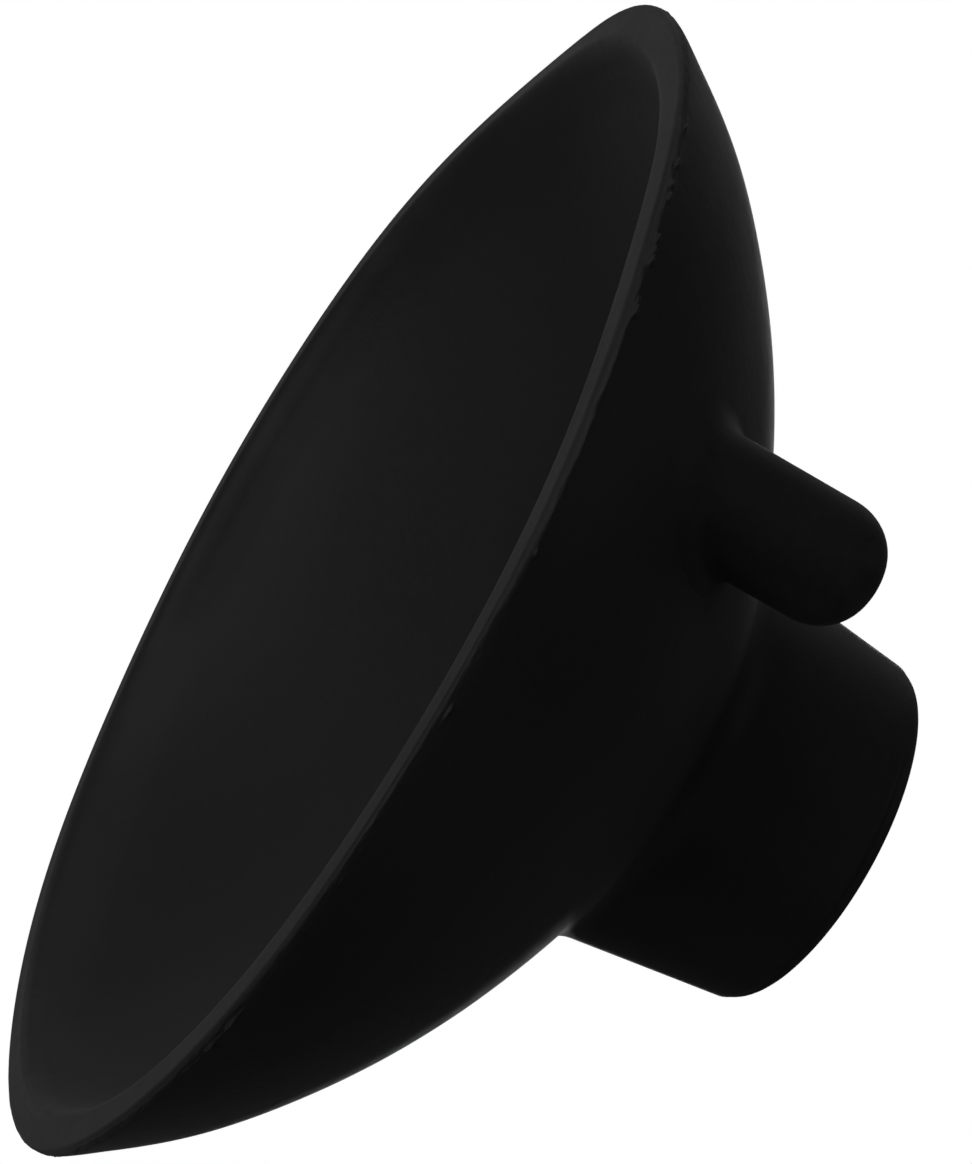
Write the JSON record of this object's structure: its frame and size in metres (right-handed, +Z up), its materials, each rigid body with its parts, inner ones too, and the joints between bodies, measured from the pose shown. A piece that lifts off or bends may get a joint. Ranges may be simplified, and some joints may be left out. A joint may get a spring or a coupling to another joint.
{
  "type": "sink plunger cup",
  "caption": "Black rubber force cup of a sink plunger, without its handle: open bell with a flat sealing lip, tapered handle hub with a blind socket, and a round grip peg on the wall.",
  "frame": {"origin": "centre of the cup's rim, on the surface it stands on", "axes": "+Z up along the hub towards the handle, +X from the cup's axis towards the grip peg, +Y completes the right-handed frame"},
  "size_m": [0.1, 0.1, 0.0463],
  "materials": {
    "lip_rubber": "matte, moulded, trimmed outer edge",
    "wall_rubber": "matte, moulded",
    "hub_rubber": "matte, moulded"
  },
  "bodies": {
    "cup_base": {"sealing_lip": "lip_rubber", "lower_wall": "wall_rubber", "peg_root": "hub_rubber"},
    "cup_shoulder": {"upper_wall": "wall_rubber"},
    "cup_top": {"cup_crown": "wall_rubber"},
    "hub": {"hub_boss": "hub_rubber"},
    "peg": {"grip_peg": "hub_rubber"}
  },
  "joints": [
    {"name": "cup_press", "type": "slide", "parent": "cup_base", "child": "cup_shoulder", "axis": [0, 0, -1], "range_m": [-0.003, 0.012], "stiffness_N_per_m": 900, "deforming": ["upper_wall"]},
    {"name": "hub_rock_x", "type": "hinge", "parent": "cup_shoulder", "child": "cup_top", "pos_m": [0, 0, 0.0262], "axis": [1, 0, 0], "range_deg": [-9, 9], "stiffness_Nm_per_rad": 1.2, "deforming": ["cup_crown"]},
    {"name": "hub_rock_y", "type": "hinge", "parent": "cup_top", "child": "hub", "pos_m": [0, 0, 0.0262], "axis": [0, 1, 0], "range_deg": [-9, 9], "stiffness_Nm_per_rad": 1.2},
    {"name": "peg_bend", "type": "hinge", "parent": "cup_base", "child": "peg", "pos_m": [0.03888, 0, 0.0175], "axis": [0, 1, 0], "range_deg": [-20, 35], "stiffness_Nm_per_rad": 0.08, "deforming": ["peg_root"]}
  ]
}
